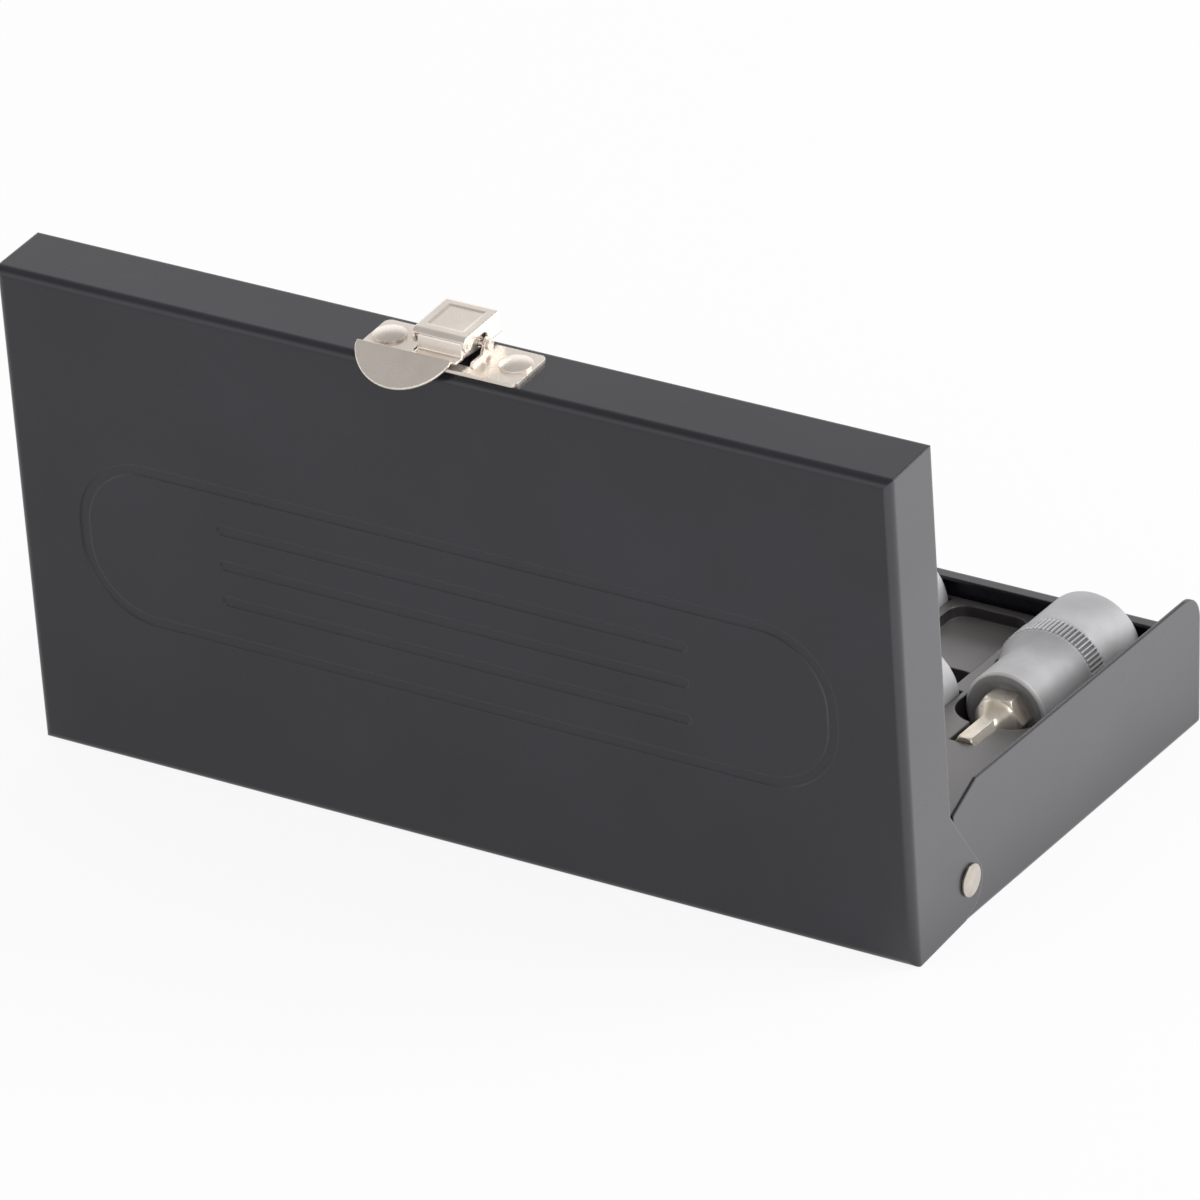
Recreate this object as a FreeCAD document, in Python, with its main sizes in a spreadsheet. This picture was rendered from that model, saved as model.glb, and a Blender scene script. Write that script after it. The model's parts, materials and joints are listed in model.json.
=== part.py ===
import FreeCAD, Part
import math
import os
import Sketcher

# Hinged sheet-steel case for eight half-inch drive bit sockets, lid standing open.
# Millimetres. +Z is up and -Y is the latch side. X runs along the hinge.
# The origin is the centre of the base's underside.
# "forward" counts from the hinge axis towards the latch side, "back" the other way.
# On the latch, "down" counts from the lid panel's outer face towards the rim, and
# "out" counts from the outer face of the lid's front wall.

DRIVING_SIZES = [
    # folded lid
    ("case_width", 208.0, "outside the lid's side walls"),
    ("lid_depth", 112.0, "lid, outside, back to front"),
    ("lid_wall", 16.2, "depth of the lid's walls, panel included"),
    ("sheet", 0.8, "steel sheet of lid and base"),
    ("lid_bend", 2.0, "outer radius round the lid panel"),
    ("pivot_setback", 8.4, "hinge axis from the lid's back face"),
    ("pivot_drop", 22.5, "hinge axis below the lid panel's outer face"),
    ("pivot_height", 10.3, "hinge axis above the base's underside"),
    ("open_angle", 94.9, "lid turn from shut to standing open"),
    ("ear_radius", 6.25, "round end of the lid's hinge ear"),
    ("ear_lead", 1.5, "ear's centre behind the hinge axis"),
    ("ear_rise", 1.0, "ear's centre above the hinge axis"),
    ("ear_shoulder", 18.2, "where the ear leaves the rim, forward of the axis"),
    ("bead_length", 178.0, "pressed stiffening frame in the lid panel"),
    ("bead_breadth", 38.0, "pressed frame, across"),
    ("bead_width", 2.2, "width of a pressed line"),
    ("bead_depth", 0.3, "depth of a pressed line"),
    ("bead_centre", 54.0, "pressed frame's centre from the lid's back face"),
    # folded base
    ("side_gap", 0.2, "air between lid wall and base wall"),
    ("front_setback", 4.0, "base front face behind the lid's front face"),
    ("base_back", 5.0, "base back face from the hinge axis"),
    ("side_clear", 1.0, "air between the side walls' top and the lid panel"),
    ("front_height", 21.3, "base front wall"),
    ("back_height", 17.5, "base back wall"),
    ("front_flange", 2.9, "inward flange of the front wall, wall included"),
    ("side_round", 6.5, "round top front corner of a side wall"),
    ("slope_forward", 4.5, "start of the back slope, forward of the axis"),
    ("slope_height", 26.5, "height of the back slope at the back edge"),
    ("base_bend", 1.2, "outer radius round the base's floor"),
    # hinge rivets
    ("rivet_shank", 1.95, "radius"),
    ("rivet_head", 3.5, "radius"),
    ("rivet_edge", 0.5, "upright edge of a formed head"),
    ("rivet_dome", 0.55, "low dome above that edge"),
    ("running_gap", 0.05, "radial clearance on a turning pin"),
    # formed tray
    ("tray_top", 16.6, "height of the tray's rim"),
    ("tray_wall", 1.0, "thickness of the formed sheet"),
    ("tray_gap", 0.45, "air between tray and base, sides and back"),
    ("tray_front_gap", 1.0, "air between tray and the base's front wall"),
    ("tray_notch", 1.4, "relief beside the hinge rivets"),
    ("tray_notch_length", 8.6, "relief, along the side"),
    ("bay_floor", 14.0, "raised floor between the front sockets"),
    ("bay_front", 4.2, "bay's front edge behind the base's front face"),
    ("well_floor", 6.0, "floor of a finger well"),
    ("well_length", 12.6, "finger well, front to back"),
    ("well_width", 18.0, "bay and finger well, side to side"),
    ("well_round", 4.0, "corner radius of a finger well"),
    ("nest_gap", 0.35, "air between a socket and its nest"),
    ("nest_overlap", 0.6, "bays and wells, past a nest's drive end"),
    ("nest_run", 8.5, "nest's curved shoulder, from the neck to the bit's slot"),
    ("nest_sweep", 7.6, "radius of that curved shoulder"),
    # bit sockets
    ("row_margin", 22.4, "end sockets' axes from the base's side walls"),
    ("axis_height", 15.0, "socket axis above the base's underside"),
    ("row_setback", 3.2, "front row's drive ends behind the base's front face"),
    ("row_step", 36.2, "from the front row to the back row"),
    ("drive_radius", 11.5, "drive end"),
    ("neck_radius", 9.4, "bit end"),
    ("socket_length", 38.2, "steel body"),
    ("drive_length", 15.2, "plain drive end, up to the grip band"),
    ("grip_length", 5.2, "grip band"),
    ("grip_proud", 0.15, "grip band, proud of the drive end"),
    ("taper_length", 7.5, "from the grip band to the neck"),
    ("taper_sweep", 14.0, "radius of the hollow taper"),
    ("end_chamfer", 0.8, "chamfer of the drive end"),
    ("mouth_radius", 7.4, "recess round the bit at the neck's end"),
    ("mouth_depth", 1.2, "depth of that recess, and its slope inwards"),
    ("drive_square", 12.9, "square hole for a half-inch drive"),
    ("drive_depth", 16.0, "square hole"),
    ("shank_flats", 10.0, "bit's hexagonal shank, across flats"),
    ("shank_depth", 12.0, "shank inside the socket"),
    ("shank_proud", 3.5, "shank in front of the neck"),
    ("shoulder_length", 5.0, "turned shoulder of the bit"),
    ("shoulder_round", 1.2, "radius of the shoulder's outer round"),
    ("shoulder_drop", 0.6, "depth of that round"),
    ("shoulder_sweep", 7.0, "radius of the hollow down to the tip"),
    ("bit_reach", 17.3, "bit tip in front of the neck"),
    ("tip_chamfer", 0.6, "chamfer of the bit's tip"),
    # latch
    ("plate_length", 37.4, "latch plate"),
    ("plate_top", 1.5, "plate's near edge, down"),
    ("plate_bottom", 14.1, "plate's far edge, down"),
    ("latch_sheet", 0.8, "latch plate and strike"),
    ("plate_round", 1.5, "corner radius of the plate"),
    ("latch_rivet_span", 29.4, "between the plate's rivets"),
    ("latch_rivet_down", 8.5, "rivets, down"),
    ("latch_rivet_shank", 1.6, "radius"),
    ("lever_pin_down", 10.5, "lever pin, down"),
    ("lever_pin_out", 2.8, "lever pin, out"),
    ("lever_pin", 0.75, "radius"),
    ("claw_pin_down", 4.9, "claw pin, down, at rest"),
    ("claw_pin_out", 5.0, "claw pin, out, at rest"),
    ("claw_pin", 0.5, "radius"),
    ("rest_lift", 7.0, "lever's rest angle above its locked angle"),
    ("lug_inside", 13.2, "between the plate's lugs"),
    ("lug_radius", 1.6, "round end of a lug"),
    ("lever_width", 10.4, "lever, outside its cheeks"),
    ("lever_sheet", 0.7, "lever and cheeks"),
    ("knuckle", 0.95, "radius of the lever's rolled knuckle"),
    ("lever_foot", 1.7, "underside of the lever's foot, inwards of its pin"),
    ("foot_reach", 9.0, "bend of the thumb tab, up from the lever pin"),
    ("tab_tilt", 40.0, "thumb tab's lean over the lid's edge"),
    ("tab_width", 21.8, "thumb tab"),
    ("tab_depth", 7.6, "thumb tab"),
    ("tab_offset", 6.9, "thumb tab's middle from the latch's middle"),
    ("claw_width", 12.2, "claw, outside its flanges"),
    ("claw_sheet", 0.6, "claw"),
    ("claw_round", 2.0, "claw's rolled edge about its pin"),
    ("claw_lip", 44.0, "where the rolled edge ends, back from upright"),
    ("claw_end", 12.7, "claw's end wall from its pin"),
    ("claw_blade", 7.0, "width of the hooking blade"),
    ("claw_tip", 5.7, "blade's tip, inwards of the claw pin"),
    ("strike_width", 22.0, "strike plate"),
    ("strike_low", 6.0, "strike plate's lower edge"),
    ("strike_high", 19.5, "strike plate's upper edge"),
    ("tongue_width", 9.0, "strike's tongue"),
    ("tongue_under", 16.6, "underside of the tongue"),
    ("tongue_reach", 2.1, "tongue, out from the strike plate"),
    ("strike_rivet_span", 16.0, "between the strike's rivets"),
    ("strike_rivet_height", 10.0, "strike's rivets"),
]

BIT_FLATS = [5.0, 6.0, 7.0, 8.0, 4.0, 9.0, 10.0, 12.0]
SOCKETS_PER_ROW = 4


class Size:
    """A number together with the formula that ties it to the sheet's cells."""

    def __init__(self, value, text):
        self.value = value
        self.text = text

    def __add__(self, other):
        other = as_size(other)
        return Size(self.value + other.value, f"({self.text} + {other.text})")

    def __sub__(self, other):
        other = as_size(other)
        return Size(self.value - other.value, f"({self.text} - {other.text})")

    def __mul__(self, other):
        other = as_size(other)
        return Size(self.value * other.value, f"({self.text} * {other.text})")

    def __truediv__(self, other):
        other = as_size(other)
        return Size(self.value / other.value, f"({self.text} / {other.text})")

    def __neg__(self):
        return Size(-self.value, f"(-1 * {self.text})")

    __radd__ = __add__

    def __rsub__(self, other):
        return as_size(other) - self

    __rmul__ = __mul__


def as_size(number):
    """A plain number as a Size; a Size stays as it is."""
    if isinstance(number, Size):
        return number
    return Size(float(number), f"{float(number):.6f}")


def sine(degrees):
    return Size(math.sin(math.radians(degrees.value)), f"sin({degrees.text} * 1 deg)")


def cosine(degrees):
    return Size(math.cos(math.radians(degrees.value)), f"cos({degrees.text} * 1 deg)")


def root(size):
    return Size(math.sqrt(size.value), f"sqrt({size.text})")


doc = FreeCAD.newDocument("bit_socket_case")
sheet = doc.addObject("Spreadsheet::Sheet", "Sizes")
S = {}
for row, (alias, number, meaning) in enumerate(DRIVING_SIZES, start=1):
    sheet.set(f"A{row}", str(number))
    sheet.setAlias(f"A{row}", alias)
    sheet.set(f"B{row}", meaning)
    S[alias] = Size(number, f"Sizes.{alias}")
BITS = []
for index, flats in enumerate(BIT_FLATS):
    row = len(DRIVING_SIZES) + 1 + index
    sheet.set(f"A{row}", str(flats))
    sheet.setAlias(f"A{row}", f"bit_flats_{index + 1}")
    sheet.set(f"B{row}", "bit tip, across flats")
    BITS.append(Size(flats, f"Sizes.bit_flats_{index + 1}"))
doc.recompute()


# ---------------------------------------------------------------- building helpers

def new_body(name):
    body = doc.addObject("PartDesign::Body", name)
    body.Label = name
    return body


def origin_plane(body, role):
    return next(item for item in body.Origin.OriginFeatures if item.Role == role)


def new_sketch(body, name, role, offset=0.0):
    """A sketch on one of the body's own planes, moved along that plane's normal."""
    sketch = body.newObject("Sketcher::SketchObject", name)
    sketch.AttachmentSupport = [(origin_plane(body, role), "")]
    sketch.MapMode = "FlatFace"
    offset = as_size(offset)
    sketch.AttachmentOffset = FreeCAD.Placement(
        FreeCAD.Vector(0, 0, offset.value), FreeCAD.Rotation())
    if offset.value != 0.0:
        sketch.setExpression("AttachmentOffset.Base.z", offset.text)
    return sketch


def pin_point(sketch, geometry, point, x, y):
    """Ties a point of the sketch to its two distances from the sketch's origin."""
    for kind, axis, size in (("DistanceX", -2, as_size(x)), ("DistanceY", -1, as_size(y))):
        if size.value == 0.0:
            sketch.addConstraint(Sketcher.Constraint("PointOnObject", geometry, point, axis))
            continue
        rule = Sketcher.Constraint(kind, -1, 1, geometry, point, size.value)
        sketch.setExpression(f"Constraints[{sketch.addConstraint(rule)}]", size.text)


def set_radius(sketch, geometry, radius):
    rule = Sketcher.Constraint("Radius", geometry, radius.value)
    sketch.setExpression(f"Constraints[{sketch.addConstraint(rule)}]", radius.text)


def short_arc(start, end, radius):
    """The short arc of this radius from start to end, turning to the left."""
    across = FreeCAD.Vector(end[0] - start[0], end[1] - start[1], 0)
    half = across.Length / 2
    right = FreeCAD.Vector(across.y, -across.x, 0).normalize()
    middle = FreeCAD.Vector(start[0], start[1], 0) + across / 2
    rise = radius - math.sqrt(max(radius * radius - half * half, 0.0))
    points = (FreeCAD.Vector(*start, 0), middle + right * rise, FreeCAD.Vector(*end, 0))
    return Part.Arc(*points)


def draw_outline(sketch, steps):
    """Draws one closed outline.

    Each step is (x, y), or (x, y, radius, side) where the way to the next point is an
    arc that bulges to that side, "left" or "right".
    """
    values = [(as_size(step[0]).value, as_size(step[1]).value) for step in steps]
    first = len(sketch.Geometry)
    starts = []
    for index, step in enumerate(steps):
        here = values[index]
        there = values[(index + 1) % len(steps)]
        if len(step) == 2:
            line = Part.LineSegment(FreeCAD.Vector(*here, 0), FreeCAD.Vector(*there, 0))
            sketch.addGeometry(line, False)
            starts.append(1)
            continue
        turns_left = step[3] == "right"
        ends = (here, there) if turns_left else (there, here)
        sketch.addGeometry(short_arc(*ends, as_size(step[2]).value), False)
        starts.append(1 if turns_left else 2)
    count = len(steps)
    for index in range(count):
        after = (index + 1) % count
        joint = Sketcher.Constraint(
            "Coincident", first + index, 3 - starts[index], first + after, starts[after])
        sketch.addConstraint(joint)
    for index, step in enumerate(steps):
        pin_point(sketch, first + index, starts[index], step[0], step[1])
        if len(step) == 4:
            set_radius(sketch, first + index, as_size(step[2]))


def draw_rectangle(sketch, low_x, high_x, low_y, high_y):
    draw_outline(sketch, [(low_x, low_y), (high_x, low_y), (high_x, high_y), (low_x, high_y)])


def draw_rounded(sketch, low_x, high_x, low_y, high_y, radius):
    """A rectangle with four equal round corners."""
    draw_outline(sketch, [
        (low_x + radius, low_y), (high_x - radius, low_y, radius, "right"),
        (high_x, low_y + radius), (high_x, high_y - radius, radius, "right"),
        (high_x - radius, high_y), (low_x + radius, high_y, radius, "right"),
        (low_x, high_y - radius), (low_x, low_y + radius, radius, "right")])


def draw_circle(sketch, x, y, radius):
    centre = FreeCAD.Vector(as_size(x).value, as_size(y).value, 0)
    circle = Part.Circle(centre, FreeCAD.Vector(0, 0, 1), radius.value)
    index = sketch.addGeometry(circle, False)
    pin_point(sketch, index, 3, x, y)
    set_radius(sketch, index, radius)


def draw_hexagon(sketch, flats):
    """A hexagon about the sketch's origin, two of its flats level."""
    half = flats / 2
    corner = flats / math.sqrt(3.0)
    side = corner / 2
    draw_outline(sketch, [(corner, 0), (side, half), (-side, half),
                          (-corner, 0), (-side, -half), (side, -half)])


def extrude(body, kind, name, sketch, length, symmetric=False, reverse=False, through=False):
    """A Pad or Pocket of the sketch."""
    feature = body.newObject(f"PartDesign::{kind}", name)
    feature.Profile = sketch
    feature.SideType = "Symmetric" if symmetric else "One side"
    feature.Reversed = reverse
    if through:
        feature.Type = "ThroughAll"
    else:
        length = as_size(length)
        feature.Length = length.value
        feature.setExpression("Length", length.text)
    sketch.Visibility = False
    doc.recompute()
    return feature


def cut(body, name, sketch, length, **options):
    """A Pocket that must take material away."""
    before = body.Shape.Volume
    feature = extrude(body, "Pocket", name, sketch, length, **options)
    if body.Shape.Volume >= before - 1e-6:
        raise RuntimeError(f"{name} cuts nothing")
    return feature


def turn_profile(body, kind, name, sketch, axis):
    """A full Revolution or Groove of the sketch about one of its own axes."""
    feature = body.newObject(f"PartDesign::{kind}", name)
    feature.Profile = sketch
    feature.ReferenceAxis = (sketch, [axis])
    feature.Angle = 360.0
    sketch.Visibility = False
    doc.recompute()
    return feature


def mirror_x(body, name, features):
    """The features again on the other side of the case's middle plane."""
    mirror = body.newObject("PartDesign::Mirrored", name)
    mirror.Originals = features
    mirror.MirrorPlane = (origin_plane(body, "YZ_Plane"), [""])
    body.Tip = mirror
    doc.recompute()
    return mirror


def edges_that(body, wanted):
    """Names of the edges whose two ends both pass the test."""
    names = []
    for index, edge in enumerate(body.Shape.Edges, start=1):
        ends = [vertex.Point for vertex in edge.Vertexes]
        if len(ends) == 2 and all(wanted(end) for end in ends):
            names.append(f"Edge{index}")
    return names


def round_edges(body, name, wanted, radius):
    """A Fillet on the edges that the test picks out."""
    names = edges_that(body, wanted)
    if not names:
        raise RuntimeError(f"{name} finds no edge")
    before = body.Tip
    feature = body.newObject("PartDesign::Fillet", name)
    feature.Base = (before, names)
    feature.Radius = radius.value
    feature.setExpression("Radius", radius.text)
    doc.recompute()
    return feature


def near(first, second):
    return abs(first - as_size(second).value) < 1e-4


# ---------------------------------------------------------------- shared places

half_width = S["case_width"] / 2
lid_inside = half_width - S["sheet"]
base_half = lid_inside - S["side_gap"]
base_inside = base_half - S["sheet"]
lid_front = S["lid_depth"] - S["pivot_setback"]
base_forward = lid_front - S["front_setback"]
pivot_y = (base_forward - S["base_back"]) / 2
rim_up = S["pivot_drop"] - S["lid_wall"]
panel_inner = S["pivot_drop"] - S["sheet"]
side_up = panel_inner - S["side_clear"]
front_row = base_forward - S["row_setback"]
back_row = front_row - S["row_step"]
socket_pitch = (base_inside - S["row_margin"]) * 2 / (SOCKETS_PER_ROW - 0.5)

PIVOT = FreeCAD.Placement(FreeCAD.Vector(0, pivot_y.value, S["pivot_height"].value),
                          FreeCAD.Rotation())
LID_OPEN = PIVOT * FreeCAD.Placement(
    FreeCAD.Vector(), FreeCAD.Rotation(FreeCAD.Vector(1, 0, 0), -S["open_angle"].value))
LATCH_CORNER = LID_OPEN * FreeCAD.Placement(
    FreeCAD.Vector(0, -lid_front.value, S["pivot_drop"].value), FreeCAD.Rotation())


def on_latch(down, out, turned=0.0):
    """The placement of a latch piece whose own origin is this far down and out."""
    turn = FreeCAD.Rotation(FreeCAD.Vector(1, 0, 0), turned)
    return LATCH_CORNER * FreeCAD.Placement(
        FreeCAD.Vector(0, -as_size(out).value, -as_size(down).value), turn)


NODES = []


def finish(piece, placement=None):
    """Places a finished sub-part and puts it on the list of nodes."""
    if placement is not None:
        piece.Placement = placement
    NODES.append(piece)


# ---------------------------------------------------------------- lid

def ear_flank():
    """Where the ear's straight flank, coming from the rim, touches its round end."""
    radius = S["ear_radius"]
    across = -S["ear_shoulder"] - S["ear_lead"]
    up = rim_up - S["ear_rise"]
    square = across * across + up * up
    along = radius * radius / square
    aside = radius * root(square - radius * radius) / square
    return (S["ear_lead"] + across * along - up * aside,
            S["ear_rise"] + up * along + across * aside)


def make_lid_shell():
    """Folded lid, drawn shut about the hinge axis: panel, four walls and two hinge ears."""
    body = new_body("lid_shell")
    back = S["pivot_setback"]
    ear_low = S["ear_rise"] - S["ear_radius"]
    touch_y, touch_z = ear_flank()
    side = new_sketch(body, "lid_side", "YZ_Plane")
    draw_outline(side, [
        (-lid_front, S["pivot_drop"]), (-lid_front, rim_up), (-S["ear_shoulder"], rim_up),
        (touch_y, touch_z, S["ear_radius"], "right"),
        (S["ear_lead"] + S["ear_radius"], S["ear_rise"]),
        (back, S["ear_rise"] + 1.2), (back, S["pivot_drop"])])
    extrude(body, "Pad", "lid_block", side, S["case_width"], symmetric=True)
    top = S["pivot_drop"].value
    round_edges(body, "lid_bends", lambda end: near(end.z, top), S["lid_bend"])
    inside = new_sketch(body, "lid_inside", "XY_Plane", panel_inner)
    draw_rectangle(inside, -lid_inside, lid_inside, S["sheet"] - lid_front, back - S["sheet"])
    cut(body, "lid_hollow", inside, 0, through=True)
    gap = new_sketch(body, "back_gap", "XZ_Plane", back * -1)
    draw_rectangle(gap, -lid_inside, lid_inside, ear_low - 1, rim_up)
    cut(body, "back_opening", gap, S["sheet"] + S["running_gap"], reverse=True)
    inner_bend = S["lid_bend"] - S["sheet"]
    inner_top = panel_inner.value
    round_edges(body, "lid_inner_bends", lambda end: near(end.z, inner_top), inner_bend)
    holes = new_sketch(body, "ear_holes", "YZ_Plane")
    draw_circle(holes, 0, 0, S["rivet_shank"] + S["running_gap"])
    cut(body, "ear_bores", holes, S["case_width"] + 2, symmetric=True)
    rivets = new_sketch(body, "latch_rivet_holes", "XZ_Plane", lid_front)
    for sign in (-1, 1):
        draw_circle(rivets, S["latch_rivet_span"] / 2 * sign,
                    S["pivot_drop"] - S["latch_rivet_down"], S["latch_rivet_shank"])
    cut(body, "latch_rivet_bores", rivets, S["sheet"] + 1)
    press_frame(body)
    finish(body, LID_OPEN)


def press_frame(body):
    """Round-ended frame and three ribs, sunk in the panel's face and raised inside it."""
    half = S["bead_length"] / 2
    middle = S["pivot_setback"] - S["bead_centre"]
    wide = S["bead_width"]

    def lines(sketch, widen):
        edge = wide + widen
        reach = S["bead_breadth"] / 2
        draw_rounded(sketch, -half - widen / 2, half + widen / 2,
                     middle - reach - widen / 2, middle + reach + widen / 2,
                     reach * 0.9)
        draw_rounded(sketch, edge - half - widen / 2, half - edge + widen / 2,
                     middle - reach + edge - widen / 2, middle + reach - edge + widen / 2,
                     reach * 0.9 - edge + widen / 2)
        for step in (-1, 0, 1):
            rib = middle + S["bead_breadth"] * 0.22 * step
            rib_half = half * 0.62
            draw_rounded(sketch, -rib_half, rib_half, rib - edge / 2, rib + edge / 2,
                         edge * 0.48)

    ridge = new_sketch(body, "bead_ridge", "XY_Plane", panel_inner)
    lines(ridge, as_size(0.5))
    extrude(body, "Pad", "bead_ridges", ridge, S["bead_depth"], reverse=True)
    groove = new_sketch(body, "bead_groove", "XY_Plane", S["pivot_drop"])
    lines(groove, as_size(0.0))
    cut(body, "bead_grooves", groove, S["bead_depth"])


# ---------------------------------------------------------------- base

def make_base_shell():
    """Folded base: floor, tall side walls, lower front and back walls, front flange."""
    body = new_body("base_shell")
    front = -base_forward
    back = S["base_back"]
    under = -S["pivot_height"]
    up = side_up
    slope_up = S["slope_height"] - S["pivot_height"]
    side = new_sketch(body, "base_side", "YZ_Plane")
    draw_outline(side, [
        (front, under), (back, under), (back, slope_up), (-S["slope_forward"], up),
        (front + S["side_round"], up, S["side_round"], "right"),
        (front, up - S["side_round"])])
    extrude(body, "Pad", "base_block", side, base_half * 2, symmetric=True)
    low = under.value
    round_edges(body, "base_bends", lambda end: near(end.z, low), S["base_bend"])
    inside = new_sketch(body, "base_inside", "XY_Plane", under + S["sheet"])
    draw_rectangle(inside, -base_inside, base_inside, front + S["sheet"], back - S["sheet"])
    cut(body, "base_hollow", inside, 0, through=True, reverse=True)
    front_up = S["front_height"] - S["pivot_height"]
    lower_front = new_sketch(body, "front_gap", "XY_Plane", front_up)
    draw_rectangle(lower_front, -base_inside, base_inside, front - 1, front + S["sheet"] + 1)
    cut(body, "front_opening", lower_front, 0, through=True, reverse=True)
    back_up = S["back_height"] - S["pivot_height"]
    lower_back = new_sketch(body, "back_gap_base", "XY_Plane", back_up)
    draw_rectangle(lower_back, -base_inside, base_inside, back - S["sheet"] - 1, back + 1)
    cut(body, "back_opening_base", lower_back, 0, through=True, reverse=True)
    flange = new_sketch(body, "flange", "XY_Plane", front_up)
    draw_rectangle(flange, -base_inside, base_inside, front + S["sheet"] / 2,
                   front + S["front_flange"])
    extrude(body, "Pad", "front_flange", flange, S["sheet"], reverse=True)
    inner_low = low + S["sheet"].value
    round_edges(body, "base_inner_bends", lambda end: near(end.z, inner_low),
                S["base_bend"] - S["sheet"])
    holes = new_sketch(body, "pivot_holes", "YZ_Plane")
    draw_circle(holes, 0, 0, S["rivet_shank"])
    cut(body, "pivot_bores", holes, S["case_width"], symmetric=True)
    rivets = new_sketch(body, "strike_rivet_holes", "XZ_Plane", base_forward)
    for sign in (-1, 1):
        draw_circle(rivets, S["strike_rivet_span"] / 2 * sign,
                    S["strike_rivet_height"] - S["pivot_height"], S["latch_rivet_shank"])
    cut(body, "strike_rivet_bores", rivets, S["sheet"] + 1)
    finish(body, PIVOT)


# ---------------------------------------------------------------- rivets and pins

def draw_rivet(sketch, sign, head, shank, grip, foot, foot_height):
    """Half section of a rivet along the sketch's x: low domed head, shank, flat foot.

    The head sits on x = 0 and points to the side that sign gives. The foot is the shank
    formed over on the grip's far side.
    """
    edge = S["rivet_edge"]
    dome = S["rivet_dome"]
    crown = (head * head + dome * dome) / (dome * 2)
    bulge = "right" if sign > 0 else "left"
    end = grip + foot_height
    draw_outline(sketch, [
        ((edge + dome) * sign, 0, crown, bulge), (edge * sign, head), (0, head), (0, shank),
        (grip * -sign, shank), (grip * -sign, foot), (end * -sign, foot), (end * -sign, 0)])


def make_hinge_rivets():
    """One rivet through each ear: dome outside the lid, flat foot inside the base."""
    seat = half_width + S["running_gap"]
    grip = seat - base_inside
    for name, sign in (("hinge_rivet_left", 1), ("hinge_rivet_right", -1)):
        body = new_body(name)
        section = new_sketch(body, f"{name}_section", "XZ_Plane")
        draw_rivet(section, 1, S["rivet_head"], S["rivet_shank"], grip,
                   S["rivet_head"] - 0.5, S["sheet"])
        turn_profile(body, "Revolution", f"{name}_turned", section, "H_Axis")
        turn = FreeCAD.Rotation(FreeCAD.Vector(0, 0, 1), 0 if sign > 0 else 180)
        place = FreeCAD.Placement(FreeCAD.Vector(seat.value * sign, 0, 0), turn)
        finish(body, PIVOT * place)


def make_rivet_pair(name, span, grip, head, foot_height, placement):
    """Two equal rivets side by side in one node, heads towards -Y."""
    shank = S["latch_rivet_shank"]
    members = []
    for side, sign in (("near", -1), ("far", 1)):
        body = new_body(f"{name}_{side}")
        section = new_sketch(body, f"{name}_{side}_section", "YZ_Plane")
        draw_rivet(section, -1, head, shank, grip, shank + 1, foot_height)
        turn_profile(body, "Revolution", f"{name}_{side}_turned", section, "H_Axis")
        offset = FreeCAD.Placement(FreeCAD.Vector(span.value / 2 * sign, 0, 0),
                                   FreeCAD.Rotation())
        body.Placement = placement * offset
        members.append(body)
    pair = doc.addObject("Part::Compound", name)
    pair.Label = name
    pair.Links = members
    doc.recompute()
    finish(pair)


def make_pin(name, radius, half_length, placement, head=None, head_height=0.5):
    """A plain pin along X, with a flat head at each end where one is given."""
    body = new_body(name)
    section = new_sketch(body, f"{name}_section", "XZ_Plane")
    if head is None:
        draw_rectangle(section, -half_length, half_length, 0, radius)
    else:
        shoulder = half_length - head_height
        draw_outline(section, [
            (-half_length, 0), (half_length, 0), (half_length, head), (shoulder, head),
            (shoulder, radius), (-shoulder, radius), (-shoulder, head),
            (-half_length, head)])
    turn_profile(body, "Revolution", f"{name}_turned", section, "H_Axis")
    finish(body, placement)


# ---------------------------------------------------------------- latch on the lid

def make_latch_plate():
    """Plate on the lid's front wall, slotted, with two bent-up lugs for the lever pin."""
    body = new_body("latch_plate")
    half = S["plate_length"] / 2
    face = new_sketch(body, "plate_face", "XZ_Plane")
    draw_rounded(face, -half, half, -S["plate_bottom"], -S["plate_top"], S["plate_round"])
    for sign in (-1, 1):
        draw_circle(face, S["latch_rivet_span"] / 2 * sign, -S["latch_rivet_down"],
                    S["latch_rivet_shank"])
    lug = S["lug_inside"] / 2
    eye = S["lever_pin_down"]
    extrude(body, "Pad", "plate_sheet", face, S["latch_sheet"])
    window = new_sketch(body, "plate_window", "XZ_Plane")
    draw_rectangle(window, -lug, lug, -S["plate_bottom"] - 1, -S["plate_top"] - 2.7)
    cut(body, "plate_slot", window, S["latch_sheet"] * 4, symmetric=True)
    out = S["lever_pin_out"]
    radius = S["lug_radius"]
    ear = new_sketch(body, "lug_side", "YZ_Plane", lug)
    root_out = -S["latch_sheet"] / 2
    strip = -S["latch_sheet"] * 2
    draw_outline(ear, [
        (root_out, -eye - radius), (-out, -eye - radius, radius, "left"),
        (-out - radius, -eye, radius, "left"), (-out, radius - eye),
        (strip, radius - eye + 0.8), (strip, -S["plate_top"] - 3.1),
        (root_out, -S["plate_top"] - 2.3)])
    lug_pad = extrude(body, "Pad", "lug", ear, S["lever_sheet"])
    bore = new_sketch(body, "lug_hole", "YZ_Plane", lug)
    draw_circle(bore, -out, -eye, S["lever_pin"] + S["running_gap"])
    mirror_x(body, "both_lugs", [lug_pad])
    cut(body, "lug_bores", bore, S["case_width"] / 4, symmetric=True)
    finish(body, on_latch(0, 0))


def lever_frame():
    """The claw pin seen from the lever pin with the lever locked: (down, out)."""
    down = S["claw_pin_down"] - S["lever_pin_down"]
    out = S["claw_pin_out"] - S["lever_pin_out"]
    lift = S["rest_lift"]
    return (down * cosine(lift) - out * sine(lift), down * sine(lift) + out * cosine(lift))


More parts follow.
